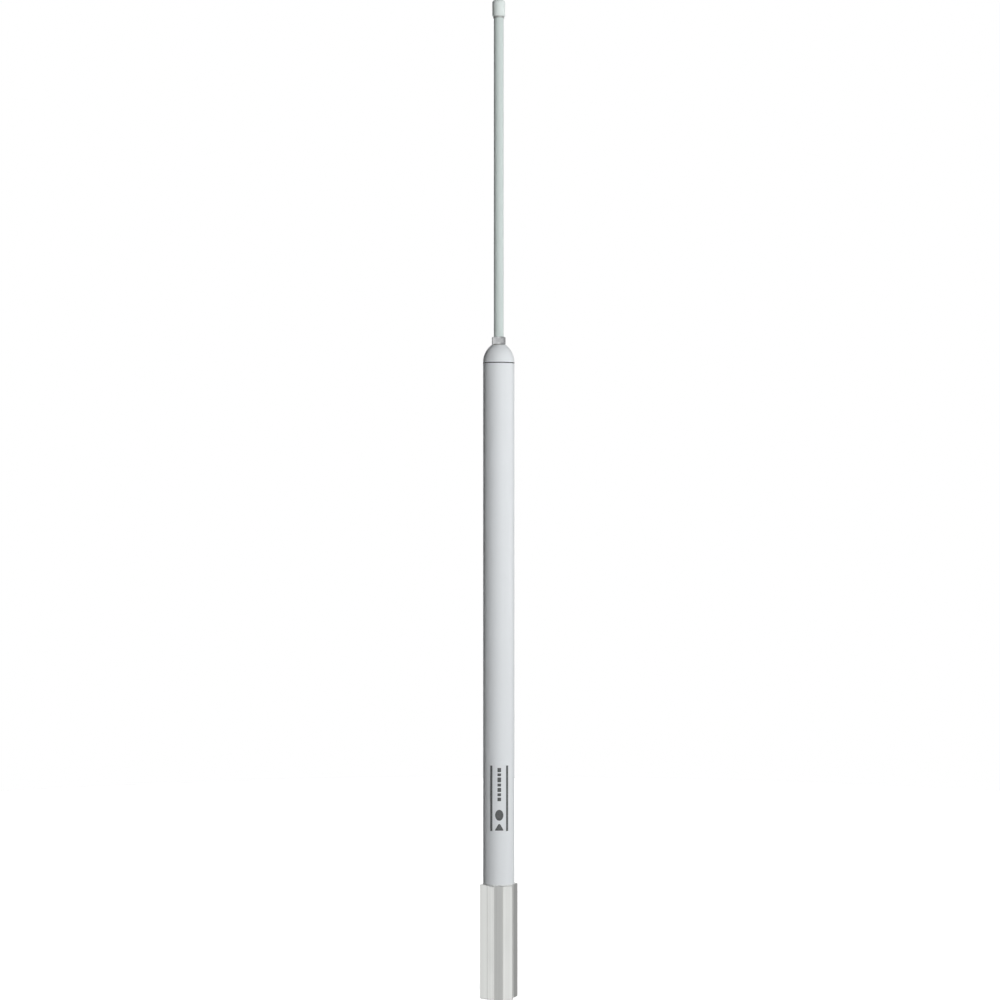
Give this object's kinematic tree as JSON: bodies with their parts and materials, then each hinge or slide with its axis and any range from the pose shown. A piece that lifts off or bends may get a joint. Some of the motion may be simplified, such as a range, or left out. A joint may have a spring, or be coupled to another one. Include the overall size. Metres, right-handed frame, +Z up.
{
  "type": "omnidirectional antenna",
  "caption": "Tall omnidirectional antenna with a thin whip on a thicker fibreglass radome, and an extruded foot that clamps to a mast and hides the coaxial jack.",
  "frame": {"origin": "middle of the V in the foot's mast side, halfway up the foot", "axes": "+Z up along the antenna, +Y from the antenna towards the mast"},
  "size_m": [0.0394, 0.0344, 1.0101],
  "materials": {
    "foot_aluminium": "satin",
    "turned_aluminium": "satin",
    "nickel_plate": "satin",
    "stainless_steel": "satin",
    "gold_plate": "polished",
    "brass": "satin",
    "copper": "satin",
    "tinned_braid": "satin",
    "ptfe": "satin",
    "moulded_ring": "matte",
    "black_jacket": "matte",
    "ferrite": "matte",
    "seal_rubber": "matte",
    "sealant": "matte",
    "grey_sealant": "matte",
    "radome_gloss": "gloss",
    "whip_gloss": "gloss",
    "moulded_white": "satin",
    "label_film": "satin",
    "label_ink": "matte"
  },
  "bodies": {
    "lower_section": {"foot_profile": "foot_aluminium", "foot_spigot": "turned_aluminium", "foot_rivets": "turned_aluminium", "foot_seal": "sealant", "jack_body": "nickel_plate", "jack_insulator": "ptfe", "jack_contact": "gold_plate", "jack_gasket": "seal_rubber", "jack_lock_washer": "nickel_plate", "jack_nut": "nickel_plate", "feed_wire": "copper", "feed_dielectric": "ptfe", "feed_braid": "tinned_braid", "feed_jacket": "black_jacket", "choke_beads": "ferrite", "choke_shrink_tube": "black_jacket", "sleeve_element": "brass", "sleeve_end_cap": "brass", "sleeve_spacers": "ptfe", "centring_rings": "moulded_ring", "radome_tube": "radome_gloss", "radome_label": "label_film", "reducer_seal": "seal_rubber", "reducer_body": "radome_gloss", "feed_link": "copper", "whip_socket": "brass"},
    "whip_joint_seal": {"whip_ring": "seal_rubber"},
    "whip": {"whip_ferrule": "stainless_steel", "whip_tube": "whip_gloss", "whip_rod": "copper", "whip_spacers": "ptfe", "tip_seal": "grey_sealant", "tip_cap": "moulded_white"}
  },
  "joints": [
    {"name": "whip_rise", "type": "slide", "parent": "lower_section", "child": "whip_joint_seal", "axis": [0, 0, 1], "range_m": [0, 0.012]},
    {"name": "whip_unscrew", "type": "hinge", "parent": "whip_joint_seal", "child": "whip", "pos_m": [0, -0.0157, 0.60325], "axis": [0, 0, 1], "range_deg": [0, 2880]}
  ],
  "couplings": [
    {"joint": "whip_unscrew", "follows": "whip_rise", "rad_per_m": 4188.8}
  ]
}
